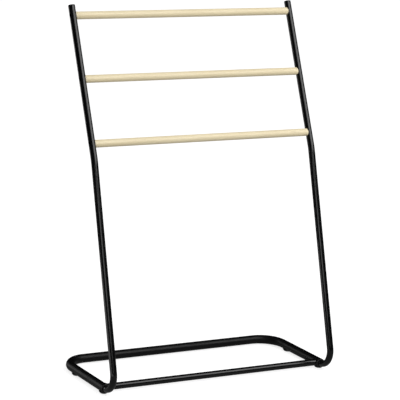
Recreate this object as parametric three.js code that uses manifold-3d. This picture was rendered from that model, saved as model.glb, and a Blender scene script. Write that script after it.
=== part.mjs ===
// Free-standing towel rack: two bent steel tubes lean back from a U-shaped base loop and carry
// three round wooden bars. Millimetres, +X to the right, +Y to the back, +Z up. The origin is on
// the floor, under the middle of the rack.
//
// Inside this file, depths (y) are measured from the axis of the front crossbar, and heights (z)
// from the axis of the base tube. The whole rack is moved onto its origin at the end.

import * as THREE from 'three';
import { mergeVertices } from 'three/addons/utils/BufferGeometryUtils.js';
import Module from 'manifold-3d';

const wasm = await Module();
wasm.setup();

// Driving dimensions of the frame.
const UPRIGHT_SPACING = 578;
const TOP_HEIGHT = 845;
const BEND_HEIGHT = 511;
const LOWER_LEAN = THREE.MathUtils.degToRad(16.2);
const UPPER_LEAN = THREE.MathUtils.degToRad(23.7);
const HEEL_CORNER_Y = -63;
const HEEL_RADIUS = 38;
const BEND_RADIUS = 150;
const BASE_DEPTH = 223;
const BASE_CORNER_RADIUS = 57;

// How much a bend flattens its tube, as a share of the diameter over the bend radius.
const BEND_FLATTENING = 0.2;

// Tubes, as outer diameter and wall.
const UPRIGHT_TUBE = { diameter: 16, wall: 1.2 };
const BASE_TUBE = { diameter: 21.3, wall: 1 };
const CROSSBAR_TUBE = { diameter: 16, wall: 1.2 };

// Wooden bars, from the top one down.
const BAR_NAMES = ['top', 'middle', 'bottom'];
const BAR_HEIGHTS = [824, 686, 547];
const BAR_DIAMETER = 18;
const BAR_CHAMFER = 1.8;
const BAR_END_SETBACK = 5.2;
const BAR_BORE = { diameter: 8.6, depth: 27 };

// Plug joint between an upright's tail and the base loop.
const PLUG_LENGTH = 65;
const BUSH = { length: 60, collar: 2, outerRadius: 9.35, innerRadius: 8.3 };
const LOCK_SCREW_Y = 40;

// Oblong feet under the side tubes.
const FOOT_YS = { front: -1, back: 145 };
const FOOT_DROP = 2;
const FOOT_WIDTH = 20;
const FOOT_LENGTH = 27;
const FOOT_TAPER = 3.2;
const FOOT_SIDES = 20;
const PEG_DIAMETER = 5;
const PEG_TOP = -6;

// Fasteners.
const SHANK_DIAMETER = 4.9;
const SCREW_HOLE = 5.6;
const ACCESS_HOLE = 9;

// Free space kept between pieces that touch.
const GAP = 0.3;

// Fineness of the round faces.
const TUBE_SIDES = 20;
const SMALL_SIDES = 12;
const BEND_STEP = THREE.MathUtils.degToRad(15);

const SIDES = [
  { name: 'left', sign: -1 },
  { name: 'right', sign: 1 },
];
const X_AXIS = new THREE.Vector3(1, 0, 0);
const Y_AXIS = new THREE.Vector3(0, 1, 0);
const Z_AXIS = new THREE.Vector3(0, 0, 1);
const HALF_SPACING = UPRIGHT_SPACING / 2;
const UPRIGHT_RADIUS = UPRIGHT_TUBE.diameter / 2;
const UPRIGHT_BORE_RADIUS = UPRIGHT_RADIUS - UPRIGHT_TUBE.wall;
const BASE_RADIUS = BASE_TUBE.diameter / 2;
const UPPER_DIRECTION = new THREE.Vector3(0, Math.sin(UPPER_LEAN), Math.cos(UPPER_LEAN));

const blackCoat = new THREE.MeshStandardMaterial({ color: 0x141517, roughness: 0.32, metalness: 0.2 });
const blackPlastic = new THREE.MeshStandardMaterial({ color: 0x101011, roughness: 0.6, metalness: 0 });
const paleWood = new THREE.MeshStandardMaterial({ color: 0xdfcb9e, roughness: 0.55, metalness: 0 });
const blackScrew = new THREE.MeshStandardMaterial({ color: 0x222326, roughness: 0.4, metalness: 0.9 });
const zincSteel = new THREE.MeshStandardMaterial({ color: 0xb9bcc0, roughness: 0.35, metalness: 1 });

// ---------------------------------------------------------------- solids

// A closed geometry as a manifold solid.
function solidOf(geometry) {
  const bare = geometry.clone();
  bare.deleteAttribute('normal');
  bare.deleteAttribute('uv');
  const merged = mergeVertices(bare, 1e-4);
  const mesh = new wasm.Mesh({
    numProp: 3,
    vertProperties: new Float32Array(merged.attributes.position.array),
    triVerts: new Uint32Array(merged.index.array),
  });
  return new wasm.Manifold(mesh);
}

// A manifold solid as a geometry.
function geometryOf(solid) {
  const mesh = solid.getMesh();
  const geometry = new THREE.BufferGeometry();
  geometry.setAttribute('position', new THREE.BufferAttribute(mesh.vertProperties, 3));
  geometry.setIndex(new THREE.BufferAttribute(mesh.triVerts, 1));
  geometry.computeVertexNormals();
  return geometry;
}

// A straight round rod between two points: a peg, or a drill for a hole.
function rod(diameter, from, to, sides = SMALL_SIDES) {
  const length = from.distanceTo(to);
  const direction = to.clone().sub(from).normalize();
  const geometry = new THREE.CylinderGeometry(diameter / 2, diameter / 2, length, sides);
  geometry.applyQuaternion(new THREE.Quaternion().setFromUnitVectors(Y_AXIS, direction));
  geometry.translate(...from.clone().add(to).multiplyScalar(0.5).toArray());
  return solidOf(geometry);
}

// A piece turned about its own Y axis.
function turned(outline, sides = SMALL_SIDES) {
  return new THREE.LatheGeometry(outline.map(([radius, y]) => new THREE.Vector2(radius, y)), sides);
}

// ---------------------------------------------------------------- bent tubes

// A flat centreline of straight runs joined by round bends. A straight run has a ring at each end
// only, and a bend has one at every BEND_STEP. A tube is a little oval in the middle of a bend.
class BentPath extends THREE.Curve {
  constructor(corners, radii, planeNormal) {
    super();
    this.planeNormal = planeNormal;
    this.stations = [{ point: corners[0], tangent: heading(corners[0], corners[1]), bend: 0 }];
    for (let i = 1; i < corners.length - 1; i += 1) {
      this.addBend(corners[i - 1], corners[i], corners[i + 1], radii[i - 1]);
    }
    const [previous, last] = corners.slice(-2);
    this.stations.push({ point: last, tangent: heading(previous, last), bend: 0 });
  }

  addBend(before, corner, after, radius) {
    const inward = heading(before, corner);
    const outward = heading(corner, after);
    const turn = inward.angleTo(outward);
    const axis = inward.clone().cross(outward).normalize();
    const start = corner.clone().addScaledVector(inward, -radius * Math.tan(turn / 2));
    const spoke = inward.clone().cross(axis).multiplyScalar(radius);
    const centre = start.clone().sub(spoke);
    const steps = Math.ceil(turn / BEND_STEP);
    for (let i = 0; i <= steps; i += 1) {
      const swing = new THREE.Quaternion().setFromAxisAngle(axis, (turn * i) / steps);
      this.stations.push({
        point: centre.clone().add(spoke.clone().applyQuaternion(swing)),
        tangent: inward.clone().applyQuaternion(swing),
        bend: Math.sin((Math.PI * i) / steps) / radius,
      });
    }
  }

  get steps() {
    return this.stations.length - 1;
  }

  getPointAt(u, target = new THREE.Vector3()) {
    return target.copy(this.stations[Math.round(u * this.steps)].point);
  }

  getTangentAt(u, target = new THREE.Vector3()) {
    return target.copy(this.stations[Math.round(u * this.steps)].tangent);
  }

  // The section's x runs in the path's plane and its y across it.
  computeFrenetFrames() {
    const frames = { tangents: [], normals: [], binormals: [] };
    for (const { tangent, bend } of this.stations) {
      const flattening = BEND_FLATTENING * this.diameter * bend;
      frames.tangents.push(tangent);
      frames.normals.push(this.planeNormal.clone().cross(tangent).multiplyScalar(1 - flattening));
      frames.binormals.push(this.planeNormal.clone().multiplyScalar(1 + flattening / 2));
    }
    return frames;
  }
}

function heading(from, to) {
  return to.clone().sub(from).normalize();
}

// An open-ended round tube along a bent path.
function tubeAlong(path, tube) {
  const radius = tube.diameter / 2;
  path.diameter = tube.diameter;
  const ring = new THREE.Shape().absarc(0, 0, radius, 0, 2 * Math.PI, false);
  ring.holes.push(new THREE.Path().absarc(0, 0, radius - tube.wall, 0, 2 * Math.PI, true));
  const geometry = new THREE.ExtrudeGeometry(ring, {
    steps: path.steps,
    curveSegments: TUBE_SIDES / 2,
    extrudePath: path,
  });
  return solidOf(geometry);
}

// ---------------------------------------------------------------- side profile

const BEND_Y = HEEL_CORNER_Y + BEND_HEIGHT * Math.tan(LOWER_LEAN);

// Depth of the upright's axis at a height above the bend.
function upperY(height) {
  return BEND_Y + (height - BEND_HEIGHT) * Math.tan(UPPER_LEAN);
}

// Where the heel's bend ends and the straight tail begins.
const HEEL_TURN = Math.PI / 2 + LOWER_LEAN;
const TAIL_START_Y = HEEL_CORNER_Y + HEEL_RADIUS * Math.tan(HEEL_TURN / 2);
const BASE_MOUTH_Y = TAIL_START_Y + BUSH.collar + GAP;

// ---------------------------------------------------------------- pieces

// One upright with its heel and tail, around x = 0. A bar's screw goes in through the wide hole in
// the outer wall and out through the narrow hole in the inner wall.
function uprightSolid(side) {
  const path = new BentPath(
    [
      new THREE.Vector3(0, TAIL_START_Y + PLUG_LENGTH, 0),
      new THREE.Vector3(0, HEEL_CORNER_Y, 0),
      new THREE.Vector3(0, BEND_Y, BEND_HEIGHT),
      new THREE.Vector3(0, upperY(TOP_HEIGHT), TOP_HEIGHT),
    ],
    [HEEL_RADIUS, BEND_RADIUS],
    X_AXIS,
  );
  let solid = tubeAlong(path, UPRIGHT_TUBE);
  const outside = new THREE.Vector3(side.sign * UPRIGHT_TUBE.diameter, 0, 0);
  for (const height of BAR_HEIGHTS) {
    const axis = new THREE.Vector3(0, upperY(height), height);
    solid = solid.subtract(rod(ACCESS_HOLE, axis, axis.clone().add(outside)));
    solid = solid.subtract(rod(SCREW_HOLE, axis, axis.clone().sub(outside)));
  }
  const lock = new THREE.Vector3(0, LOCK_SCREW_Y, 0);
  solid = solid.subtract(rod(SCREW_HOLE, lock, lock.clone().sub(outside)));
  return solid.subtract(pegHole(FOOT_YS.front));
}

// The hole that a foot's peg needs below x = 0.
function pegHole(y) {
  const inside = new THREE.Vector3(0, y, 0);
  const below = new THREE.Vector3(0, y, -2 * BASE_RADIUS);
  return rod(PEG_DIAMETER + 2 * GAP, inside, below);
}

// The U-shaped base loop, open at its two front ends.
function baseLoopSolid() {
  const corners = [
    new THREE.Vector3(-HALF_SPACING, BASE_MOUTH_Y, 0),
    new THREE.Vector3(-HALF_SPACING, BASE_DEPTH, 0),
    new THREE.Vector3(HALF_SPACING, BASE_DEPTH, 0),
    new THREE.Vector3(HALF_SPACING, BASE_MOUTH_Y, 0),
  ];
  const path = new BentPath(corners, [BASE_CORNER_RADIUS, BASE_CORNER_RADIUS], Z_AXIS);
  let solid = tubeAlong(path, BASE_TUBE);
  for (const side of SIDES) {
    const x = side.sign * HALF_SPACING;
    for (const y of Object.values(FOOT_YS)) {
      solid = solid.subtract(pegHole(y).translate([x, 0, 0]));
    }
    const axis = new THREE.Vector3(x, LOCK_SCREW_Y, 0);
    const inside = new THREE.Vector3(x - side.sign * BASE_TUBE.diameter, LOCK_SCREW_Y, 0);
    solid = solid.subtract(rod(SCREW_HOLE, axis, inside));
  }
  return solid;
}

// The thinner tube across the front, coped at both ends to sit against the side tubes.
function crossbarSolid() {
  const left = new THREE.Vector3(-HALF_SPACING, 0, 0);
  const right = new THREE.Vector3(HALF_SPACING, 0, 0);
  let solid = tubeAlong(new BentPath([left, right], [], Z_AXIS), CROSSBAR_TUBE);
  for (const end of [left, right]) {
    const behind = end.clone().addScaledVector(Y_AXIS, BASE_TUBE.diameter);
    const ahead = end.clone().addScaledVector(Y_AXIS, -BASE_TUBE.diameter);
    solid = solid.subtract(rod(BASE_TUBE.diameter + 2 * GAP, ahead, behind, 2 * TUBE_SIDES));
  }
  return solid;
}

// The plastic bush that fills the space between an upright's tail and the base tube, around x = 0.
function bushSolid(side) {
  const sleeve = turned(
    [
      [BUSH.innerRadius, 0],
      [BASE_RADIUS - 0.8, 0],
      [BASE_RADIUS, 0.8],
      [BASE_RADIUS, BUSH.collar],
      [BUSH.outerRadius, BUSH.collar],
      [BUSH.outerRadius, BUSH.length],
      [BUSH.innerRadius, BUSH.length],
      [BUSH.innerRadius, 0],
    ],
    TUBE_SIDES,
  );
  let solid = solidOf(sleeve.translate(0, TAIL_START_Y, 0));
  const lock = new THREE.Vector3(0, LOCK_SCREW_Y, 0);
  const inside = new THREE.Vector3(-side.sign * BASE_TUBE.diameter, LOCK_SCREW_Y, 0);
  solid = solid.subtract(rod(SCREW_HOLE, lock, inside));
  return solid.subtract(pegHole(FOOT_YS.front));
}

// One wooden bar along X: a dowel with chamfered ends that are hollowed to fit the round uprights,
// and with a bore in each end for a threaded insert.
function barSolid() {
  const radius = BAR_DIAMETER / 2;
  const half = HALF_SPACING - BAR_END_SETBACK;
  const dowel = turned(
    [
      [0, -half],
      [radius - BAR_CHAMFER, -half],
      [radius, -half + BAR_CHAMFER],
      [radius, half - BAR_CHAMFER],
      [radius - BAR_CHAMFER, half],
      [0, half],
    ],
    2 * SMALL_SIDES,
  );
  let solid = solidOf(dowel.rotateZ(-Math.PI / 2));
  for (const side of SIDES) {
    const axis = new THREE.Vector3(side.sign * HALF_SPACING, 0, 0);
    const above = axis.clone().addScaledVector(UPPER_DIRECTION, 2 * BAR_DIAMETER);
    const below = axis.clone().addScaledVector(UPPER_DIRECTION, -2 * BAR_DIAMETER);
    solid = solid.subtract(rod(UPRIGHT_TUBE.diameter + 2 * GAP, below, above, 2 * TUBE_SIDES));
    const bottom = axis.clone().addScaledVector(X_AXIS, -side.sign * (UPRIGHT_RADIUS + BAR_BORE.depth));
    solid = solid.subtract(rod(BAR_BORE.diameter, axis, bottom));
  }
  return solid;
}

// A threaded insert for a bar's end: a ring with coarse ridges outside. It starts at y = 0.
function insertGeometry() {
  const length = 13;
  const ridges = 4;
  const crest = BAR_BORE.diameter / 2 - GAP;
  const root = crest - 0.6;
  const bore = SCREW_HOLE / 2;
  const pitch = length / ridges;
  const outline = [[bore, 0]];
  for (let i = 0; i < ridges; i += 1) {
    outline.push([root, i * pitch], [crest, (i + 0.35) * pitch], [crest, (i + 0.65) * pitch]);
  }
  outline.push([root, length], [bore, length], [bore, 0]);
  return turned(outline);
}

// A screw along Y: the head's seat is at y = 0, and the shank points to +Y.
function screwSolid({ headDiameter, headHeight, crown, length, key }) {
  const head = headDiameter / 2;
  const shank = SHANK_DIAMETER / 2;
  const body = turned([
    [0, -headHeight],
    [head - crown, -headHeight],
    [head, -headHeight + crown],
    [head, 0],
    [shank, 0],
    [shank, length - 1],
    [shank - 1, length],
    [0, length],
  ]);
  const socket = new THREE.CylinderGeometry(key / Math.sqrt(3), key / Math.sqrt(3), headHeight, 6);
  socket.translate(0, -headHeight, 0);
  return solidOf(body).subtract(solidOf(socket));
}

// A hexagon nut along Y with its middle at y = 0.
function nutSolid(acrossFlats, thickness) {
  const radius = acrossFlats / Math.sqrt(3);
  const body = solidOf(new THREE.CylinderGeometry(radius, radius, thickness, 6));
  const low = new THREE.Vector3(0, -thickness, 0);
  const high = new THREE.Vector3(0, thickness, 0);
  return body.subtract(rod(SCREW_HOLE, low, high));
}

// A push-in cap for an upright's top: a low dome over the tube's end and a hollow stem inside it.
// The tube's end is at y = 0, and the dome is above it.
function capGeometry() {
  const stem = UPRIGHT_BORE_RADIUS - GAP;
  const hollow = stem - 1.5;
  const roof = -1.2;
  const depth = 10;
  const crown = 3;
  return turned(
    [
      [0, roof],
      [hollow, roof],
      [hollow, -depth],
      [stem - 0.4, -depth],
      [stem, 1 - depth],
      [stem, GAP],
      [UPRIGHT_RADIUS, GAP],
      [UPRIGHT_RADIUS, crown - 1.7],
      [UPRIGHT_RADIUS - 0.6, crown - 1],
      [UPRIGHT_RADIUS - 2.4, crown - 0.4],
      [0, crown],
    ],
    TUBE_SIDES,
  );
}

// A foot: an oval glide under the side tube, flat below and wider above, hollowed to fit the tube,
// with a round peg that goes up into it. The front ones pass under the crossbar. The tube's axis runs
// along Y through the foot's origin.
function footSolid() {
  const floor = -BASE_RADIUS - FOOT_DROP;
  const top = -CROSSBAR_TUBE.diameter / 2 - GAP;
  const radius = FOOT_WIDTH / 2;
  const pad = turned(
    [
      [0, floor],
      [radius - FOOT_TAPER, floor],
      [radius - 0.7 * FOOT_TAPER, floor + 0.5],
      [radius - 0.2 * FOOT_TAPER, floor + 2.6],
      [radius, top],
      [0, top],
    ],
    FOOT_SIDES,
  );
  pad.scale(1, 1, FOOT_LENGTH / FOOT_WIDTH);
  const front = Y_AXIS.clone().multiplyScalar(-FOOT_LENGTH);
  const back = Y_AXIS.clone().multiplyScalar(FOOT_LENGTH);
  const seat = rod(BASE_TUBE.diameter + 2 * GAP, front, back, 2 * TUBE_SIDES);
  const pegRoot = new THREE.Vector3(0, 0, floor + 1);
  const peg = rod(PEG_DIAMETER, pegRoot, new THREE.Vector3(0, 0, PEG_TOP));
  return solidOf(pad.rotateX(Math.PI / 2)).subtract(seat).add(peg);
}

// ---------------------------------------------------------------- assembly

const rack = new THREE.Group();

function addPiece(name, shape, material) {
  const geometry = shape.isBufferGeometry ? shape : geometryOf(shape);
  const mesh = new THREE.Mesh(geometry, material);
  mesh.name = name;
  rack.add(mesh);
  return mesh;
}

// Turns a piece so that its own +Y points along X: to the right when sign is 1, else to the left.
function pointAlongX(mesh, sign) {
  mesh.rotation.z = (-sign * Math.PI) / 2;
}

function addFrame() {
  addPiece('base_loop', baseLoopSolid(), blackCoat);
  addPiece('front_crossbar', crossbarSolid(), blackCoat);
  for (const side of SIDES) {
    const x = side.sign * HALF_SPACING;
    addPiece(`${side.name}_upright`, uprightSolid(side), blackCoat).position.x = x;
    addPiece(`${side.name}_bush`, bushSolid(side), blackPlastic).position.x = x;
    const cap = addPiece(`${side.name}_end_cap`, capGeometry(), blackPlastic);
    cap.position.set(x, upperY(TOP_HEIGHT), TOP_HEIGHT);
    cap.rotation.x = Math.PI / 2 - UPPER_LEAN;
  }
}

// The button-head screw and the nut that lock each upright's tail in the base loop.
function addLocks() {
  const nutSize = 8;
  const nutThickness = 4;
  const nutCorner = nutSize / Math.sqrt(3);
  const nutFace = Math.sqrt(UPRIGHT_BORE_RADIUS ** 2 - nutCorner ** 2) - GAP;
  const seat = BASE_RADIUS + GAP;
  for (const side of SIDES) {
    const x = side.sign * HALF_SPACING;
    const screw = screwSolid({ headDiameter: 9, headHeight: 2.6, crown: 1.6, length: 9.5, key: 3 });
    const lock = addPiece(`${side.name}_lock_screw`, screw, blackScrew);
    lock.position.set(x - side.sign * seat, LOCK_SCREW_Y, 0);
    pointAlongX(lock, side.sign);
    const nut = addPiece(`${side.name}_lock_nut`, nutSolid(nutSize, nutThickness), zincSteel);
    nut.position.set(x - side.sign * (nutFace - nutThickness / 2), LOCK_SCREW_Y, 0);
    pointAlongX(nut, side.sign);
  }
}

// The wooden bars, each with an insert and a cap-head screw at both ends.
function addBars() {
  const headDiameter = 8.4;
  const seat = Math.sqrt(UPRIGHT_BORE_RADIUS ** 2 - (headDiameter / 2) ** 2) - GAP;
  const insertStart = UPRIGHT_RADIUS + 4;
  BAR_NAMES.forEach((name, i) => {
    const y = upperY(BAR_HEIGHTS[i]);
    const z = BAR_HEIGHTS[i];
    addPiece(`${name}_bar`, barSolid(), paleWood).position.set(0, y, z);
    for (const side of SIDES) {
      const x = side.sign * HALF_SPACING;
      const insert = addPiece(`${name}_bar_${side.name}_insert`, insertGeometry(), zincSteel);
      insert.position.set(x - side.sign * insertStart, y, z);
      pointAlongX(insert, -side.sign);
      const shape = screwSolid({ headDiameter, headHeight: 5, crown: 0.5, length: 21, key: 4 });
      const screw = addPiece(`${name}_bar_${side.name}_screw`, shape, blackScrew);
      screw.position.set(x - side.sign * seat, y, z);
      pointAlongX(screw, -side.sign);
    }
  });
}

function addFeet() {
  for (const [place, y] of Object.entries(FOOT_YS)) {
    for (const side of SIDES) {
      const foot = addPiece(`${place}_${side.name}_foot`, footSolid(), blackPlastic);
      foot.position.set(side.sign * HALF_SPACING, y, 0);
    }
  }
}

addFrame();
addLocks();
addBars();
addFeet();

// Stand the rack on its feet, with the origin under the middle of its outline.
const outline = new THREE.Box3().setFromObject(rack);
rack.position.set(0, -(outline.min.y + outline.max.y) / 2, -outline.min.z);

export default rack;
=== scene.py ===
"""Looks of a free-standing towel rack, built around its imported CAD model.

Metres, +X to the right along the bars, +Y to the back, +Z up. The origin is on the floor.
"""

import math

import bmesh
import bpy
from mathutils import Matrix, Vector


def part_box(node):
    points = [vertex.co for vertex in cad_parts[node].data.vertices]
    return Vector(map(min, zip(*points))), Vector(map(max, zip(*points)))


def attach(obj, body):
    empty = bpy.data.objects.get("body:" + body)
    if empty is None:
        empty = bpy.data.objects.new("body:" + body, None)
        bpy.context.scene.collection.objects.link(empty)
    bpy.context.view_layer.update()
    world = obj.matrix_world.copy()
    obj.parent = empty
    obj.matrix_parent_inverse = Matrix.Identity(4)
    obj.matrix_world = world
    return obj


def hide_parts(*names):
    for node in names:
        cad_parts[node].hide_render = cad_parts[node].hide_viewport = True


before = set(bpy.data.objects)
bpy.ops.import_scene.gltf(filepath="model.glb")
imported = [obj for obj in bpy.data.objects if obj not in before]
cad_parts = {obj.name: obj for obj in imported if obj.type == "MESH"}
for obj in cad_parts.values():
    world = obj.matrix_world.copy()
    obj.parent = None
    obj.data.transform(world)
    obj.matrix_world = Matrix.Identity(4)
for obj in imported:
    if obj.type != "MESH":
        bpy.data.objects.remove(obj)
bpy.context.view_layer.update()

MM = 0.001
X_AXIS = Vector((1, 0, 0))
Y_AXIS = Vector((0, 1, 0))
Z_AXIS = Vector((0, 0, 1))
SIDES = {"left": -1, "right": 1}
BAR_NAMES = ("top", "middle", "bottom")

# Shapes that the frame's boxes don't tell. They are the CAD model's own values.
LOWER_LEAN = math.radians(16.2)
BEND_BELOW_BAR = 36 * MM
END_ABOVE_BAR = 21 * MM
HEEL_RADIUS = 38 * MM
BEND_RADIUS = 150 * MM
CORNER_RADIUS = 57 * MM
BEND_FLATTENING = 0.2
UPRIGHT_WALL = 1.2 * MM
BASE_WALL = 1.0 * MM
CROSSBAR_WALL = 1.2 * MM
PLUG_LENGTH = 65 * MM
BUSH_LENGTH = 60 * MM
BUSH_COLLAR = 2 * MM
BUSH_OUTER = 9.35 * MM
BUSH_INNER = 8.3 * MM
BAR_CHAMFER = 1.8 * MM
BAR_BORE = 4.3 * MM
BAR_BORE_DEPTH = 27 * MM
ACCESS_HOLE = 4.5 * MM
SCREW_HOLE = 2.8 * MM
PEG_RADIUS = 2.5 * MM
SHANK_RADIUS = 2.45 * MM
THREAD_PITCH = 1 * MM
THREAD_DEPTH = 0.35 * MM
GAP = 0.3 * MM

# Screws: the head's radius and height, its rounding, the length below it, and the key's width.
BAR_SCREW = {"head": 4.2 * MM, "height": 5 * MM, "crown": 0.5 * MM, "length": 21 * MM, "key": 4 * MM}
LOCK_SCREW = {"head": 4.5 * MM, "height": 2.6 * MM, "crown": 1.6 * MM, "length": 9.5 * MM, "key": 3 * MM}

# Fineness of the meshes.
TUBE_SIDES = 56
SMALL_SIDES = 40
BAR_SIDES = 64
BAR_RUNS = 24
COPE_SIDES = 96
BEND_STEP = math.radians(3)
EASED_EDGE = 0.25 * MM
MERGE_DISTANCE = 0.002 * MM

# The camera: where it looks, its lens in millimetres, and its place from the crossbar's middle, in
# spacings of the uprights.
VIEW_YAW = math.radians(29.16)
VIEW_PITCH = math.radians(12.15)
VIEW_ROLL = math.radians(2.59)
VIEW_LENS = 181.4
VIEW_PLACE = Vector((-3.912, -6.83, 2.416))

# What the world gives off, as the rack is lit by it and as the camera sees it.
SKY_GLOW = 0.5
BACKDROP_GLOW = 1.0


# ---------------------------------------------------------------- places, from the frame

def middle(node):
    """The middle of a node's box."""
    low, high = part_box(node)
    return (low + high) / 2


def half_size(node):
    """Half the size of a node's box."""
    low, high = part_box(node)
    return (high - low) / 2


HALF_SPACING = middle("right_upright").x
UPRIGHT_RADIUS = half_size("right_end_cap").x
CROSSBAR = middle("front_crossbar")
CROSSBAR_RADIUS = half_size("front_crossbar").z
BASE_Z = CROSSBAR.z
BASE_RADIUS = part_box("base_loop")[1].x - HALF_SPACING
BACK_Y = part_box("base_loop")[1].y - BASE_RADIUS
BARS = {name: middle(f"{name}_bar") for name in BAR_NAMES}
BAR_RADIUS = half_size("top_bar").z
BAR_HALF_LENGTH = half_size("top_bar").x
UPPER_DIRECTION = (BARS["top"] - BARS["bottom"]).normalized()
UPPER_SLOPE = UPPER_DIRECTION.y / UPPER_DIRECTION.z


def on_upper_run(z):
    """The point of the upright's axis, seen from the side, at a height above the bend."""
    bar = BARS["bottom"]
    return Vector((0, bar.y + (z - bar.z) * UPPER_SLOPE, z))


BEND_CORNER = on_upper_run(BARS["bottom"].z - BEND_BELOW_BAR)
UPRIGHT_TOP = on_upper_run(BARS["top"].z + END_ABOVE_BAR)
HEEL_CORNER = Vector((0, BEND_CORNER.y - (BEND_CORNER.z - BASE_Z) * math.tan(LOWER_LEAN), BASE_Z))
HEEL_TURN = math.pi / 2 + LOWER_LEAN
TAIL_START = HEEL_CORNER + Y_AXIS * HEEL_RADIUS * math.tan(HEEL_TURN / 2)
BASE_MOUTH_Y = TAIL_START.y + BUSH_COLLAR + GAP


# ---------------------------------------------------------------- camera

def make_camera():
    """The photograph's view: a long lens from the front left, a little above the rack."""
    forward = Vector((
        math.sin(VIEW_YAW) * math.cos(VIEW_PITCH),
        math.cos(VIEW_YAW) * math.cos(VIEW_PITCH),
        -math.sin(VIEW_PITCH),
    ))
    level_right = forward.cross(Z_AXIS).normalized()
    level_up = level_right.cross(forward)
    right = math.cos(VIEW_ROLL) * level_right + math.sin(VIEW_ROLL) * level_up
    up = math.cos(VIEW_ROLL) * level_up - math.sin(VIEW_ROLL) * level_right
    data = bpy.data.cameras.new("camera")
    data.sensor_width = 36
    data.lens = VIEW_LENS
    camera = bpy.data.objects.new("camera", data)
    turn = Matrix((right, up, -forward)).transposed().to_4x4()
    place = VIEW_PLACE * 2 * HALF_SPACING + Vector((0, CROSSBAR.y, BASE_Z))
    camera.matrix_world = Matrix.Translation(place) @ turn
    bpy.context.scene.collection.objects.link(camera)
    bpy.context.scene.camera = camera


make_camera()


# ---------------------------------------------------------------- materials

class Look:
    """A node material under construction. Its textures are solid ones, in metres."""

    def __init__(self, name):
        self.material = bpy.data.materials.new(name)
        self.material.use_nodes = True
        self.tree = self.material.node_tree
        self.shader = self.tree.nodes["Principled BSDF"]
        self.place = self.add("ShaderNodeTexCoord").outputs["Object"]

    def add(self, kind, inputs=None, **settings):
        """Adds a node. An input is a number, a colour or another node's output."""
        node = self.tree.nodes.new(kind)
        for key, value in settings.items():
            setattr(node, key, value)
        for key, value in (inputs or {}).items():
            self.feed(node.inputs[key], value)
        return node

    def feed(self, socket, value):
        if isinstance(value, bpy.types.NodeSocket):
            self.tree.links.new(value, socket)
        else:
            socket.default_value = value

    def set(self, **inputs):
        """Sets the shader's inputs. An underscore stands for a space."""
        for key, value in inputs.items():
            self.feed(self.shader.inputs[key.replace("_", " ")], value)

    def stretched(self, scale, shift=(0, 0, 0)):
        inputs = {"Vector": self.place, "Scale": scale, "Location": shift}
        return self.add("ShaderNodeMapping", inputs).outputs["Vector"]

    def noise(self, scale, detail=2.0, roughness=0.5, where=None):
        inputs = {
            "Vector": where or self.place,
            "Scale": scale,
            "Detail": detail,
            "Roughness": roughness,
        }
        return self.add("ShaderNodeTexNoise", inputs).outputs["Fac"]

    def spread(self, value, low, high, to_low, to_high):
        """Maps low..high of a value to to_low..to_high, and holds it there outside."""
        inputs = {"Value": value, "From Min": low, "From Max": high, "To Min": to_low, "To Max": to_high}
        return self.add("ShaderNodeMapRange", inputs).outputs["Result"]

    def math(self, operation, a, b=0.0):
        return self.add("ShaderNodeMath", {0: a, 1: b}, operation=operation).outputs[0]

    def mix(self, factor, a, b):
        """Mixes two colours. A mix node's colours are its inputs 6 and 7, and its output 2."""
        return self.add("ShaderNodeMix", {0: factor, 6: a, 7: b}, data_type="RGBA").outputs[2]

    def bump(self, height, strength, distance, under=None):
        inputs = {"Height": height, "Strength": strength, "Distance": distance}
        if under is not None:
            inputs["Normal"] = under
        return self.add("ShaderNodeBump", inputs).outputs["Normal"]


def rgb(red, green, blue):
    return (red, green, blue, 1.0)


def powder_coat(name, roughness, peel_depth, gloss):
    """Black powder coat: a faint orange peel, a few dull patches and fine dust."""
    look = Look(name)
    patches = look.noise(22, detail=5, roughness=0.6)
    peel = look.noise(420, detail=2)
    grit = look.noise(2600, detail=2)
    dust = look.spread(look.noise(1900, detail=1), 0.70, 0.78, 0, 0.5)
    tone = look.mix(patches, rgb(0.0015, 0.0016, 0.0019), rgb(0.0035, 0.0035, 0.0038))
    look.set(Base_Color=look.mix(dust, tone, rgb(0.03, 0.03, 0.03)))
    dull = look.spread(patches, 0.3, 0.7, roughness - 0.05, roughness + 0.05)
    look.set(Roughness=look.math("ADD", dull, look.spread(grit, 0.3, 0.7, -0.02, 0.04)))
    fine = look.bump(grit, 0.08, 0.05 * MM)
    look.set(Normal=look.bump(peel, peel_depth, 0.12 * MM, under=fine))
    look.set(IOR=1.5, Specular_IOR_Level=gloss)
    return look.material


def moulded_plastic():
    """Black moulded plastic with a fine spark-eroded grain."""
    look = Look("moulded_plastic")
    cloud = look.noise(90, detail=4)
    grain = look.noise(3200, detail=3, roughness=0.6)
    look.set(Base_Color=look.mix(cloud, rgb(0.009, 0.009, 0.0095), rgb(0.018, 0.018, 0.0185)))
    look.set(Roughness=look.spread(grain, 0.3, 0.7, 0.38, 0.56))
    look.set(Normal=look.bump(grain, 0.35, 0.06 * MM), IOR=1.46)
    return look.material


def black_steel():
    """Black-finished steel of the screws: turned marks and bright rubbed specks."""
    look = Look("black_steel")
    marks = look.noise(1500, detail=3)
    rubbed = look.spread(look.noise(500, detail=5, roughness=0.7), 0.62, 0.75, 0, 0.7)
    look.set(Base_Color=look.mix(rubbed, rgb(0.035, 0.036, 0.04), rgb(0.22, 0.22, 0.23)))
    look.set(Metallic=0.85, Roughness=look.spread(marks, 0.3, 0.7, 0.26, 0.42))
    look.set(Normal=look.bump(marks, 0.2, 0.03 * MM))
    return look.material


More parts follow.
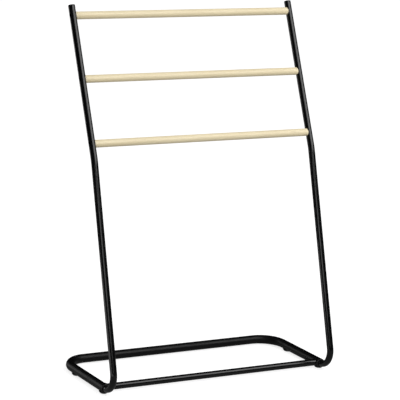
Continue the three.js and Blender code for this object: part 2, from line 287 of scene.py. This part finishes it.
def zinc_plate():
    """Zinc-plated steel of the hidden inserts and nuts: a faint crystal mottle."""
    look = Look("zinc_plate")
    mottle = look.noise(700, detail=4, roughness=0.6)
    look.set(Base_Color=look.mix(mottle, rgb(0.5, 0.51, 0.54), rgb(0.72, 0.73, 0.74)))
    look.set(Metallic=1.0, Roughness=look.spread(mottle, 0.3, 0.7, 0.25, 0.45))
    look.set(Normal=look.bump(mottle, 0.15, 0.03 * MM))
    return look.material


def bar_wood(name, heart, shift):
    """Pale lacquered hardwood with its grain along X. heart is where the rings' centre lies."""
    look = Look(name)
    wander = look.noise(1, detail=2, where=look.stretched((3.0, 30.0, 30.0), shift))
    sway = {0: wander, 1: (0.0, 6 * MM, 6 * MM)}
    swayed = {
        0: look.stretched((0.35, 1.0, 1.0), heart),
        1: look.add("ShaderNodeVectorMath", sway, operation="MULTIPLY").outputs[0],
    }
    rings = look.add("ShaderNodeTexWave", {
        "Vector": look.add("ShaderNodeVectorMath", swayed).outputs[0],
        "Scale": 95.0,
        "Distortion": 1.6,
        "Detail": 3.0,
        "Detail Scale": 0.6,
    }, wave_type="RINGS", rings_direction="X", wave_profile="SAW").outputs["Fac"]
    fibres = look.noise(1, detail=5, roughness=0.65, where=look.stretched((28.0, 900.0, 900.0), shift))
    streaks = look.noise(1, detail=3, where=look.stretched((7.0, 160.0, 160.0), shift))
    flecks = look.noise(1, detail=1, where=look.stretched((260.0, 2800.0, 2800.0), shift))
    flecks = look.spread(flecks, 0.64, 0.72, 0, 1)

    pale = rgb(0.77, 0.69, 0.475)
    tone = look.mix(look.spread(streaks, 0.3, 0.7, 0, 1), pale, rgb(0.705, 0.61, 0.395))
    tone = look.mix(look.math("MULTIPLY", rings, 0.45), tone, rgb(0.61, 0.50, 0.31))
    tone = look.mix(look.spread(fibres, 0.35, 0.75, 0, 0.35), tone, rgb(0.59, 0.48, 0.295))
    tone = look.mix(look.math("MULTIPLY", flecks, 0.5), tone, rgb(0.41, 0.305, 0.175))
    # Painted highlight: faces that point along X, the bars' chamfered ends, are painted a lighter cream
    # to stand in for light caught on the lacquered chamfers.
    normal = look.add("ShaderNodeNewGeometry").outputs["Normal"]
    along = look.math("ABSOLUTE", look.add("ShaderNodeSeparateXYZ", {0: normal}).outputs["X"])
    cut = look.spread(along, 0.25, 0.6, 0, 0.6)
    look.set(Base_Color=look.mix(cut, tone, rgb(0.90, 0.83, 0.64)))

    look.set(Roughness=look.spread(fibres, 0.3, 0.7, 0.42, 0.6))
    look.set(Coat_Weight=0.2, Coat_Roughness=0.3, IOR=1.5)
    ridges = look.bump(fibres, 0.25, 0.08 * MM)
    look.set(Normal=look.bump(flecks, 0.3, -0.06 * MM, under=ridges))
    return look.material


GLOSSY_COAT = powder_coat("glossy_coat", roughness=0.16, peel_depth=0.08, gloss=0.5)
SATIN_COAT = powder_coat("satin_coat", roughness=0.42, peel_depth=0.3, gloss=0.25)
PLASTIC = moulded_plastic()
BLACK_STEEL = black_steel()
ZINC = zinc_plate()


# ---------------------------------------------------------------- mesh tools

def skin(bm, near, far):
    """Faces between two rings. A ring of one vertex is a tip."""
    count = max(len(near), len(far))
    for i in range(count):
        j = (i + 1) % count
        corners = [near[i % len(near)], near[j % len(near)], far[j % len(far)], far[i % len(far)]]
        bm.faces.new(list(dict.fromkeys(corners)))


def turned(bm, outline, place, sides=SMALL_SIDES):
    """Turns an outline of (radius, height) points about its own Z axis. An outline starts and
    ends on the axis, or closes on itself."""
    loop = outline[0] == outline[-1] and outline[0][0] > 0
    rings = []
    for radius, height in (outline[:-1] if loop else outline):
        angles = [2 * math.pi * i / sides for i in range(sides)] if radius > 0 else [0]
        rings.append([
            bm.verts.new(place @ Vector((radius * math.cos(a), radius * math.sin(a), height)))
            for a in angles
        ])
    for near, far in zip(rings, rings[1:]):
        skin(bm, near, far)
    if loop:
        skin(bm, rings[-1], rings[0])


def arc(centre, radius, start, end, steps=5):
    """Outline points on a circle, from one angle to another, in degrees."""
    angles = [math.radians(start + (end - start) * i / steps) for i in range(steps + 1)]
    return [(centre[0] + radius * math.cos(a), centre[1] + radius * math.sin(a)) for a in angles]


def facing(direction, at):
    """A place whose own Z axis points in a direction."""
    return Matrix.Translation(at) @ direction.to_track_quat("Z", "Y").to_matrix().to_4x4()


def drill(bm, start, end, radius, sides=SMALL_SIDES):
    """A plain round rod, used to cut a hole."""
    length = (end - start).length
    turned(bm, [(0, 0), (radius, 0), (radius, length), (0, length)], facing(end - start, start), sides)


def piece(name, bm, material, nodes=(), sharp=32):
    """Makes a finished piece of the rack out of a mesh. nodes are the CAD nodes that it stands for."""
    bmesh.ops.recalc_face_normals(bm, faces=bm.faces)
    mesh = bpy.data.meshes.new(name)
    bm.to_mesh(mesh)
    bm.free()
    mesh.materials.append(material)
    mesh.shade_smooth()
    mesh.set_sharp_from_angle(angle=math.radians(sharp))
    made = bpy.data.objects.new(name, mesh)
    bpy.context.scene.collection.objects.link(made)
    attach(made, "root")
    if nodes:
        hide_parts(*nodes)
    return made


def cut_away(bm, cutter):
    """One mesh less another, as a new mesh."""
    objects = []
    for part in (bm, cutter):
        bmesh.ops.recalc_face_normals(part, faces=part.faces)
        mesh = bpy.data.meshes.new("cut")
        part.to_mesh(mesh)
        part.free()
        objects.append(bpy.data.objects.new("cut", mesh))
        bpy.context.scene.collection.objects.link(objects[-1])
    modifier = objects[0].modifiers.new("cut", "BOOLEAN")
    modifier.operation = "DIFFERENCE"
    modifier.solver = "EXACT"
    modifier.object = objects[1]
    evaluated = objects[0].evaluated_get(bpy.context.evaluated_depsgraph_get())
    result = bmesh.new()
    result.from_mesh(evaluated.data)
    for made in objects:
        mesh = made.data
        bpy.data.objects.remove(made)
        bpy.data.meshes.remove(mesh)
    bmesh.ops.remove_doubles(result, verts=result.verts, dist=MERGE_DISTANCE)
    return result


# ---------------------------------------------------------------- bent tubes

def bent_path(corners, radii):
    """Stations of straight runs joined by round bends: (point, tangent, how sharply it bends)."""
    stations = [(corners[0], (corners[1] - corners[0]).normalized(), 0.0)]
    for before, corner, after, radius in zip(corners, corners[1:], corners[2:], radii):
        inward = (corner - before).normalized()
        outward = (after - corner).normalized()
        turn = inward.angle(outward)
        axis = inward.cross(outward).normalized()
        spoke = inward.cross(axis) * radius
        centre = corner - inward * radius * math.tan(turn / 2) - spoke
        steps = math.ceil(turn / BEND_STEP)
        for i in range(steps + 1):
            swing = Matrix.Rotation(turn * i / steps, 3, axis)
            sharpness = math.sin(math.pi * i / steps) / radius
            stations.append((centre + swing @ spoke, swing @ inward, sharpness))
    stations.append((corners[-1], (corners[-1] - corners[-2]).normalized(), 0.0))
    return stations


def tube(stations, plane_normal, radius, wall):
    """A hollow tube with eased rims along a flat path. Bends are a little oval."""
    bm = bmesh.new()

    def ring(station, ring_radius, along=0.0):
        point, tangent, sharpness = station
        flattening = BEND_FLATTENING * 2 * radius * sharpness
        in_plane = plane_normal.cross(tangent) * (1 - flattening) * ring_radius
        across = plane_normal * (1 + flattening / 2) * ring_radius
        angles = [2 * math.pi * i / TUBE_SIDES for i in range(TUBE_SIDES)]
        centre = point + tangent * along
        return [bm.verts.new(centre + math.cos(a) * in_plane + math.sin(a) * across) for a in angles]

    first, *between, last = stations
    rings = [ring(first, radius - EASED_EDGE), ring(first, radius, EASED_EDGE)]
    rings += [ring(station, radius) for station in between]
    rings += [ring(last, radius, -EASED_EDGE), ring(last, radius - EASED_EDGE)]
    rings += [ring(station, radius - wall) for station in reversed(stations)]
    for near, far in zip(rings, rings[1:] + rings[:1]):
        skin(bm, near, far)
    return bm


def upright(side, sign):
    """One bent upright, with the holes for its bar screws, its lock screw and its foot's peg."""
    offset = X_AXIS * sign * HALF_SPACING
    corners = [
        TAIL_START + Y_AXIS * PLUG_LENGTH + offset,
        HEEL_CORNER + offset,
        BEND_CORNER + offset,
        UPRIGHT_TOP + offset,
    ]
    bm = tube(bent_path(corners, [HEEL_RADIUS, BEND_RADIUS]), X_AXIS, UPRIGHT_RADIUS, UPRIGHT_WALL)
    holes = bmesh.new()
    reach = X_AXIS * sign * 2 * UPRIGHT_RADIUS
    inside = X_AXIS * sign * MM
    for bar in BARS.values():
        centre = Vector((offset.x, bar.y, bar.z))
        drill(holes, centre + inside, centre + reach, ACCESS_HOLE)
        drill(holes, centre - inside, centre - reach, SCREW_HOLE)
    lock = middle(f"{side}_lock_screw")
    centre = Vector((offset.x, lock.y, lock.z))
    drill(holes, centre - inside, centre - reach, SCREW_HOLE)
    drill_peg_hole(holes, f"front_{side}_foot")
    piece(f"upright_{side}", cut_away(bm, holes), GLOSSY_COAT, [f"{side}_upright"])


def drill_peg_hole(bm, foot_node):
    """The hole that a foot's peg needs."""
    at = middle(foot_node)
    at.z = BASE_Z
    drill(bm, at - Z_AXIS * MM, at - Z_AXIS * 2 * BASE_RADIUS, PEG_RADIUS + GAP)


def base_loop():
    """The U-shaped loop on the floor, open at its two front ends."""
    corners = [
        Vector((-HALF_SPACING, BASE_MOUTH_Y, BASE_Z)),
        Vector((-HALF_SPACING, BACK_Y, BASE_Z)),
        Vector((HALF_SPACING, BACK_Y, BASE_Z)),
        Vector((HALF_SPACING, BASE_MOUTH_Y, BASE_Z)),
    ]
    bm = tube(bent_path(corners, [CORNER_RADIUS] * 2), Z_AXIS, BASE_RADIUS, BASE_WALL)
    holes = bmesh.new()
    for side, sign in SIDES.items():
        for place in ("front", "back"):
            drill_peg_hole(holes, f"{place}_{side}_foot")
        lock = middle(f"{side}_lock_screw")
        centre = Vector((sign * HALF_SPACING, lock.y, lock.z))
        drill(holes, centre - X_AXIS * sign * MM, centre - X_AXIS * sign * 2 * BASE_RADIUS, SCREW_HOLE)
    piece("base_tube_loop", cut_away(bm, holes), SATIN_COAT, ["base_loop"])


def crossbar():
    """The thinner tube across the front, coped at both ends."""
    corners = [Vector((sign * HALF_SPACING, CROSSBAR.y, BASE_Z)) for sign in (-1, 1)]
    bm = tube(bent_path(corners, []), Z_AXIS, CROSSBAR_RADIUS, CROSSBAR_WALL)
    copes = bmesh.new()
    reach = Y_AXIS * 2 * BASE_RADIUS
    for corner in corners:
        drill(copes, corner - reach, corner + reach, BASE_RADIUS + GAP, TUBE_SIDES)
    piece("crossbar_tube", cut_away(bm, copes), GLOSSY_COAT, ["front_crossbar"])


def weld_bead(side, sign):
    """The weld round a crossbar's end: a rippled fillet where the two tubes meet, under the coat."""
    bm = bmesh.new()
    steps = 144
    ripples = 26
    inward = X_AXIS * -sign
    rings = []
    for i in range(steps):
        turn = 2 * math.pi * i / steps
        out = Vector((0, math.cos(turn), math.sin(turn)))
        depth = math.sqrt(BASE_RADIUS ** 2 - (CROSSBAR_RADIUS * out.z) ** 2)
        toe = Vector((sign * (HALF_SPACING - depth), CROSSBAR.y, BASE_Z)) + out * CROSSBAR_RADIUS
        leg = (1.9 + 0.16 * math.cos(ripples * turn) + 0.12 * math.sin(3 * turn + sign)) * MM
        outline = [
            toe - (out + inward) * 0.5 * MM,
            toe + inward * leg - out * 0.4 * MM,
            toe + inward * leg * 0.82 + out * 0.12 * leg,
            toe + inward * leg * 0.52 + out * leg * 0.46,
            toe + inward * leg * 0.14 + out * leg * 0.84,
            toe - inward * 0.4 * MM + out * leg,
        ]
        rings.append([bm.verts.new(point) for point in outline])
    for near, far in zip(rings, rings[1:] + rings[:1]):
        skin(bm, near, far)
    piece(f"weld_bead_{side}", bm, SATIN_COAT, sharp=60)


# ---------------------------------------------------------------- plastic pieces

def bush(side, sign):
    """The bush between an upright's tail and the base tube: a sleeve with a rounded collar."""
    bm = bmesh.new()
    crown = 0.8 * MM
    outline = [
        (BUSH_INNER, BUSH_LENGTH),
        (BUSH_INNER, 0.3 * MM),
        (BUSH_INNER + 0.3 * MM, 0),
        *arc((BASE_RADIUS - crown, crown), crown, -90, 0),
        (BASE_RADIUS, BUSH_COLLAR),
        (BUSH_OUTER, BUSH_COLLAR),
        (BUSH_OUTER, BUSH_LENGTH),
        (BUSH_INNER, BUSH_LENGTH),
    ]
    start = TAIL_START + X_AXIS * sign * HALF_SPACING
    turned(bm, outline, facing(Y_AXIS, start), TUBE_SIDES)
    holes = bmesh.new()
    lock = middle(f"{side}_lock_screw")
    centre = Vector((start.x, lock.y, lock.z))
    drill(holes, centre - X_AXIS * sign * MM, centre - X_AXIS * sign * 2 * BASE_RADIUS, SCREW_HOLE)
    drill_peg_hole(holes, f"front_{side}_foot")
    piece(f"bush_{side}", cut_away(bm, holes), PLASTIC, [f"{side}_bush"])


def end_cap(side, sign):
    """The push-in cap of an upright: a low dome over the rim, and a hollow stem inside the tube."""
    bm = bmesh.new()
    stem = UPRIGHT_RADIUS - UPRIGHT_WALL - GAP
    hollow = stem - 1.5 * MM
    edge = 0.9 * MM
    rim = 1.2 * MM
    roof = -1.2 * MM
    depth = 10 * MM
    outline = [
        (0, roof),
        (hollow, roof),
        (hollow, -depth),
        (stem - 0.4 * MM, -depth),
        (stem, MM - depth),
        (stem, GAP),
        (UPRIGHT_RADIUS - 0.15 * MM, GAP),
        (UPRIGHT_RADIUS, GAP + 0.15 * MM),
        *arc((UPRIGHT_RADIUS - edge, rim), edge, 0, 62),
        (UPRIGHT_RADIUS - 2.6 * MM, 2.55 * MM),
        (UPRIGHT_RADIUS - 4.4 * MM, 2.87 * MM),
        (UPRIGHT_RADIUS - 6.2 * MM, 2.98 * MM),
        (0, 3 * MM),
    ]
    top = UPRIGHT_TOP + X_AXIS * sign * HALF_SPACING
    turned(bm, outline, facing(UPPER_DIRECTION, top), TUBE_SIDES)
    piece(f"end_cap_{side}", bm, PLASTIC, [f"{side}_end_cap"])


def foot(place, side):
    """An oval glide: flat below, wider above, its top hollowed to the tube, with a round peg."""
    node = f"{place}_{side}_foot"
    low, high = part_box(node)
    centre = (low + high) / 2
    radius = (high.x - low.x) / 2
    floor_radius = radius - 3 * MM
    top = BASE_Z - CROSSBAR_RADIUS - GAP
    turns = [2 * math.pi * i / SMALL_SIDES for i in range(SMALL_SIDES)]
    bm = bmesh.new()

    def flank(height):
        """Half the glide's width at a height."""
        return floor_radius + (radius - floor_radius) * (height / top) ** 0.6

    def hollow(x):
        """The height of the glide's top at a distance x beside the tube's axis."""
        return min(top, BASE_Z - math.sqrt((BASE_RADIUS + GAP) ** 2 - x ** 2))

    stretch = (high.y - low.y) / (2 * flank(hollow(0)))

    def reach(r):
        """Half the glide's length where r is half its width. Near the peg it is round."""
        return r + (stretch - 1) * radius * max(0, r - PEG_RADIUS) / (radius - PEG_RADIUS)

    def ring(radii, heights):
        return [
            bm.verts.new((centre.x + r * math.cos(a), centre.y + reach(r) * math.sin(a), z))
            for a, r, z in zip(turns, radii, heights)
        ]

    def level_ring(ring_radius, height):
        return ring([ring_radius] * SMALL_SIDES, [height] * SMALL_SIDES)

    # The rim is where the flank meets the hollow. Each pass brings it closer.
    rim = [radius] * SMALL_SIDES
    for _ in range(12):
        rim = [flank(hollow(r * math.cos(a))) for a, r in zip(turns, rim)]
    rim_heights = [hollow(r * math.cos(a)) for a, r in zip(turns, rim)]
    dimple_depth = 0.35 * MM
    dimple_radius = 2.6 * MM
    rings = [
        [bm.verts.new((centre.x, centre.y, dimple_depth))],
        level_ring(dimple_radius, dimple_depth),
        level_ring(dimple_radius + 0.3 * MM, 0),
        level_ring(floor_radius - 0.2 * MM, 0),
    ]
    for share in (0.03, 0.12, 0.3, 0.55, 0.8, 0.95, 1):
        heights = [share * height for height in rim_heights]
        rings.append(ring([flank(z) for z in heights], heights))
    for share in (0.95, 0.85, 0.7, 0.5, 0.3, 0.1, 0):
        radii = [PEG_RADIUS + share * (r - PEG_RADIUS) for r in rim]
        rings.append(ring(radii, [hollow(r * math.cos(a)) for a, r in zip(turns, radii)]))
    tip_z = BASE_Z - 6 * MM
    rings += [
        level_ring(PEG_RADIUS, tip_z - 0.4 * MM),
        level_ring(PEG_RADIUS - 0.4 * MM, tip_z),
        [bm.verts.new((centre.x, centre.y, tip_z))],
    ]
    for near, far in zip(rings, rings[1:]):
        skin(bm, near, far)
    piece(f"glide_{place}_{side}", bm, PLASTIC, [node])


# ---------------------------------------------------------------- wooden bars

def wooden_bar(name, material):
    """A dowel with eased chamfers, hollowed ends that fit the uprights, and a bore in each end."""
    axis = BARS[name]
    half = BAR_HALF_LENGTH
    ease = 0.35 * MM
    chamfer_start = half - BAR_CHAMFER
    end_profile = [
        (BAR_RADIUS, chamfer_start - ease),
        (BAR_RADIUS - 0.3 * ease, chamfer_start + 0.3 * ease),
        (BAR_RADIUS - BAR_CHAMFER + 0.3 * ease, half - 0.3 * ease),
        (BAR_RADIUS - BAR_CHAMFER - ease, half),
        (0, half),
    ]
    straight = chamfer_start - ease
    body = [(BAR_RADIUS, (2 * i / BAR_RUNS - 1) * straight) for i in range(1, BAR_RUNS)]
    mirrored = [(radius, -x) for radius, x in reversed(end_profile)]
    bm = bmesh.new()
    turned(bm, mirrored + body + end_profile, facing(X_AXIS, Vector((0, axis.y, axis.z))), BAR_SIDES)
    cutters = bmesh.new()
    for sign in SIDES.values():
        upright_axis = Vector((sign * HALF_SPACING, axis.y, axis.z))
        reach = UPPER_DIRECTION * 3 * BAR_RADIUS
        drill(cutters, upright_axis - reach, upright_axis + reach, UPRIGHT_RADIUS + GAP, COPE_SIDES)
    bm = cut_away(bm, cutters)
    bores = bmesh.new()
    for sign in SIDES.values():
        mouth = Vector((sign * HALF_SPACING, axis.y, axis.z))
        depth = X_AXIS * sign * (UPRIGHT_RADIUS + BAR_BORE_DEPTH)
        drill(bores, mouth, mouth - depth, BAR_BORE)
    piece(f"wooden_bar_{name}", cut_away(bm, bores), material, [f"{name}_bar"])


# ---------------------------------------------------------------- fasteners

def socket_screw(name, node, seat, direction, head, height, crown, length, key):
    """A socket-head screw. Its head sits on seat, and its tip points along direction."""
    shank = SHANK_RADIUS
    depth = height * 0.62
    key_radius = key / math.sqrt(3)
    bm = bmesh.new()
    body = [
        (0, -height),
        (head - crown, -height),
        *arc((head - crown, -height + crown), crown, -90, 0)[1:],
        (head, -0.2 * MM),
        (head - 0.2 * MM, 0),
        (shank, 0),
        *thread_outline(shank, 2 * MM, length - MM),
        (shank - MM, length),
        (0, length),
    ]
    turned(bm, body, facing(direction, seat))
    socket = bmesh.new()
    top = seat - direction * (height + MM)
    drill(socket, top, top + direction * (MM + depth), key_radius, 6)
    piece(name, cut_away(bm, socket), BLACK_STEEL, [node])


def thread_outline(radius, start, end):
    """The zigzag outline of a threaded shank."""
    points = []
    for i in range(int((end - start) / THREAD_PITCH)):
        crest = start + i * THREAD_PITCH
        points += [(radius, crest), (radius - THREAD_DEPTH, crest + THREAD_PITCH / 2)]
    points.append((radius, end))
    return points


def screws():
    """The screws that hold the bars, and the two that lock the uprights in the base loop."""
    inner = UPRIGHT_RADIUS - UPRIGHT_WALL
    for side, sign in SIDES.items():
        inward = X_AXIS * -sign
        seat_depth = math.sqrt(inner ** 2 - BAR_SCREW["head"] ** 2) - GAP
        for name, bar in BARS.items():
            seat = Vector((sign * (HALF_SPACING - seat_depth), bar.y, bar.z))
            node = f"{name}_bar_{side}_screw"
            socket_screw(f"{name}_{side}_bar_screw", node, seat, inward, **BAR_SCREW)
        lock = middle(f"{side}_lock_screw")
        seat = Vector((sign * (HALF_SPACING - BASE_RADIUS - GAP), lock.y, lock.z))
        socket_screw(f"lock_screw_{side}", f"{side}_lock_screw", seat, -inward, **LOCK_SCREW)


def hidden_steel():
    """The CAD nodes that stay: the threaded inserts and the nuts inside the tubes."""
    for name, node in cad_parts.items():
        if name.endswith("_insert") or name.endswith("_nut"):
            node.data.materials.clear()
            node.data.materials.append(ZINC)


# ---------------------------------------------------------------- stage

def glowing(name, glow):
    """A matt black that gives off white light."""
    look = Look(name)
    look.set(Base_Color=rgb(0, 0, 0), Roughness=0.9, Specular_IOR_Level=0.0)
    look.set(Emission_Color=rgb(1, 1, 1), Emission_Strength=glow)
    return look


def pale_floor():
    """A matt grey with faint clouds, which also gives off white light."""
    look = glowing("floor", 0.78)
    tone = 0.34
    pale = 1.05 * tone
    cloud = look.noise(1.5, detail=3)
    look.set(Base_Color=look.mix(cloud, rgb(tone, tone, tone), rgb(pale, pale, pale)))
    return look


def level_sheet(name, look, corner, far_corner, height=0.0):
    """A flat sheet of the stage."""
    (x, y), (far_x, far_y) = corner, far_corner
    mesh = bpy.data.meshes.new(name)
    places = [(x, y, height), (far_x, y, height), (far_x, far_y, height), (x, far_y, height)]
    mesh.from_pydata(places, [], [(0, 1, 2, 3)])
    mesh.materials.append(look.material)
    sheet = bpy.data.objects.new(name, mesh)
    bpy.context.scene.collection.objects.link(sheet)
    return sheet


def make_floor():
    """A plain pale floor that glows a little, as a lit table does, so that shadows stay faint.
    The rack's gloss shows a dimmer floor than the eye sees, with a bright patch on the left."""
    floor = level_sheet("floor", pale_floor(), (-60, -60), (60, 60))
    floor.visible_glossy = False
    floor.visible_diffuse = False
    reflected = [
        ("floor_in_gloss", 0.2, (-0.6, -1), (1, 1)),
        ("bright_floor_in_gloss", 1.3, (-6, -1.5), (-0.6, 1)),
    ]
    for name, glow, corner, far_corner in reflected:
        sheet = level_sheet(name, glowing(name, glow), corner, far_corner, height=0.1 * MM)
        sheet.visible_camera = False
        sheet.visible_diffuse = False
        sheet.visible_shadow = False


def soft_box(name, target, bearing, height, distance, size, brightness):
    """A rectangular studio light that shines on a target. bearing is its angle from the front
    towards the right and height its angle above the target, in degrees. brightness is its radiance."""
    bearing = math.radians(bearing)
    height = math.radians(height)
    away = Vector((
        math.sin(bearing) * math.cos(height),
        -math.cos(bearing) * math.cos(height),
        math.sin(height),
    ))
    data = bpy.data.lights.new(name, "AREA")
    data.shape = "RECTANGLE"
    data.size, data.size_y = size
    data.energy = brightness * math.pi * size[0] * size[1]
    light = bpy.data.objects.new(name, data)
    light.matrix_world = facing(away, Vector(target) + away * distance)
    light.visible_camera = False
    bpy.context.scene.collection.objects.link(light)


def soft_sun(name, direction, strength):
    """A very soft light without a reflection. direction points to it."""
    data = bpy.data.lights.new(name, "SUN")
    data.energy = strength
    data.angle = math.radians(70)
    light = bpy.data.objects.new(name, data)
    light.matrix_world = facing(Vector(direction), Vector((0, 0, 3)))
    light.visible_glossy = False
    bpy.context.scene.collection.objects.link(light)


def make_lights():
    """Soft suns for the wood, and soft boxes that show in the black tubes."""
    soft_sun("sky", direction=(0.3, -0.5, 1), strength=0.5)
    soft_sun("back_fill", direction=(-0.3, 1, 0.3), strength=0.9)
    soft_box(
        "front_right", target=(0, 0, 0.6), bearing=30, height=39, distance=3.2,
        size=(3.7, 2.2), brightness=3.2,
    )
    soft_box(
        "front_left", target=(0, 0, 0.3), bearing=-25, height=15, distance=3.5,
        size=(1.7, 0.75), brightness=2.2,
    )
    soft_box(
        "back_left", target=(-HALF_SPACING, 0, 0), bearing=-150, height=13, distance=2.5,
        size=(1.3, 1.1), brightness=1.5,
    )


def make_world():
    """An even white sky, dimmer as a light than as a backdrop, and never seen in the gloss."""
    world = bpy.data.worlds.new("studio")
    world.use_nodes = True
    tree = world.node_tree
    background = tree.nodes["Background"]
    background.inputs["Color"].default_value = rgb(1, 1, 1)
    seen_directly = tree.nodes.new("ShaderNodeLightPath").outputs["Is Camera Ray"]
    strength = tree.nodes.new("ShaderNodeMapRange")
    strength.inputs["To Min"].default_value = SKY_GLOW
    strength.inputs["To Max"].default_value = BACKDROP_GLOW
    tree.links.new(seen_directly, strength.inputs["Value"])
    tree.links.new(strength.outputs["Result"], background.inputs["Strength"])
    world.cycles_visibility.glossy = False
    bpy.context.scene.world = world
    bpy.context.scene.view_settings.view_transform = "Standard"


# ---------------------------------------------------------------- assembly

base_loop()
crossbar()
for side, sign in SIDES.items():
    upright(side, sign)
    bush(side, sign)
    end_cap(side, sign)
    weld_bead(side, sign)
    for place in ("front", "back"):
        foot(place, side)
wooden_bar("top", bar_wood("wood_top", (0.3, 0.045, 0.03), (0.0, 0.0, 0.0)))
wooden_bar("middle", bar_wood("wood_middle", (0.9, -0.06, 0.02), (4.0, 2.0, 1.0)))
wooden_bar("bottom", bar_wood("wood_bottom", (1.7, 0.03, -0.055), (9.0, 5.0, 3.0)))
screws()
hidden_steel()
make_floor()
make_lights()
make_world()
